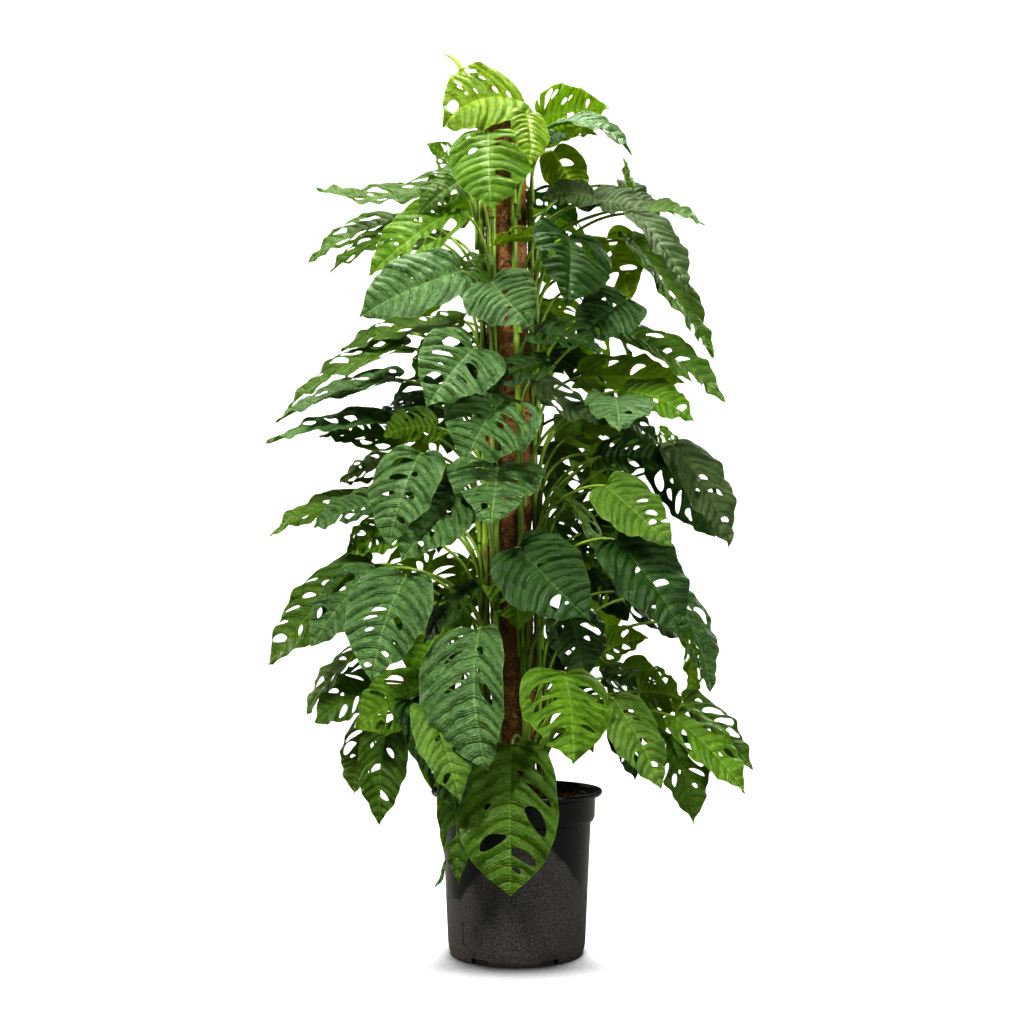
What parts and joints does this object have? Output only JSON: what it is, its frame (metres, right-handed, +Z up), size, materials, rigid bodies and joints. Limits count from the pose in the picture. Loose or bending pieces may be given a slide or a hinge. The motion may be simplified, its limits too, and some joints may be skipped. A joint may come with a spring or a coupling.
{
  "type": "potted climbing swiss cheese plant",
  "caption": "Tall climbing plant with large perforated leaves on a coir pole, standing in a round black nursery pot.",
  "frame": {"origin": "centre of the pot's foot, on the surface it stands on", "axes": "+Z up along the pole, -Y towards the front of the plant, +X to the right seen from the front"},
  "size_m": [0.6838, 0.4803, 1.2695],
  "materials": {
    "pot_plastic": "satin black moulded plastic with a fine grain",
    "peat": "dull, crumbly dark brown peat",
    "coir": "dull matted red-brown coir fibre",
    "stem_green": "satin green stems",
    "leaf_young": "satin, thin yellow-green young leaves and sheath",
    "leaf_bright": "satin bright green leaves",
    "leaf_mid": "satin mid green leaves",
    "leaf_deep": "satin dark green leaves",
    "leaf_sheen": "dark green leaves with a soft pale sheen",
    "leaf_dusk": "dark green leaves, glossy",
    "leaf_dusty": "grey-green, slightly dull leaves",
    "leaf_olive": "yellowish green leaves seen against the light",
    "leaf_pale": "pale green leaves"
  },
  "bodies": {
    "root": {"pot": "pot_plastic", "peat": "peat", "coir_pole": "coir", "stem_front_left": "stem_green", "stem_front_right": "stem_green", "stem_left": "stem_green", "stem_right": "stem_green", "stem_back": "stem_green", "shoot": "leaf_young", "leaf_top_01": "leaf_young", "leaf_top_02": "leaf_bright", "leaf_top_03": "leaf_young", "leaf_top_04": "leaf_bright", "leaf_top_05": "leaf_sheen", "leaf_top_07": "leaf_young", "leaf_right_02": "leaf_dusty", "leaf_right_06": "leaf_dusty", "leaf_right_07": "leaf_mid", "leaf_right_08": "leaf_young", "leaf_right_09": "leaf_deep", "leaf_left_01": "leaf_mid", "leaf_left_04": "leaf_bright", "leaf_left_05": "leaf_mid", "leaf_left_08": "leaf_sheen", "leaf_left_11": "leaf_mid", "leaf_left_12": "leaf_sheen", "leaf_front_03": "leaf_sheen", "leaf_front_04": "leaf_sheen", "leaf_right_11": "leaf_dusk", "leaf_right_13": "leaf_mid", "leaf_right_14": "leaf_olive", "leaf_right_15": "leaf_bright", "leaf_right_16": "leaf_sheen", "leaf_front_06": "leaf_sheen", "leaf_front_09": "leaf_sheen", "leaf_front_10": "leaf_dusk", "leaf_front_11": "leaf_sheen", "leaf_low_01": "leaf_mid", "leaf_low_02": "leaf_bright", "leaf_left_13": "leaf_sheen", "leaf_left_14": "leaf_mid", "leaf_low_03": "leaf_deep", "leaf_low_04": "leaf_mid", "leaf_left_20": "leaf_sheen", "leaf_left_21": "leaf_sheen", "leaf_left_22": "leaf_olive", "leaf_left_27": "leaf_sheen", "leaf_right_20": "leaf_dusty", "leaf_right_22": "leaf_pale", "leaf_right_25": "leaf_dusk", "leaf_right_29": "leaf_mid", "leaf_right_32": "leaf_pale", "leaf_back_02": "leaf_mid", "leaf_back_04": "leaf_mid", "leaf_back_05": "leaf_deep", "leaf_back_07": "leaf_mid", "leaf_back_08": "leaf_bright", "leaf_back_09": "leaf_mid", "leaf_back_10": "leaf_deep", "leaf_back_12": "leaf_bright"}
  },
  "joints": []
}
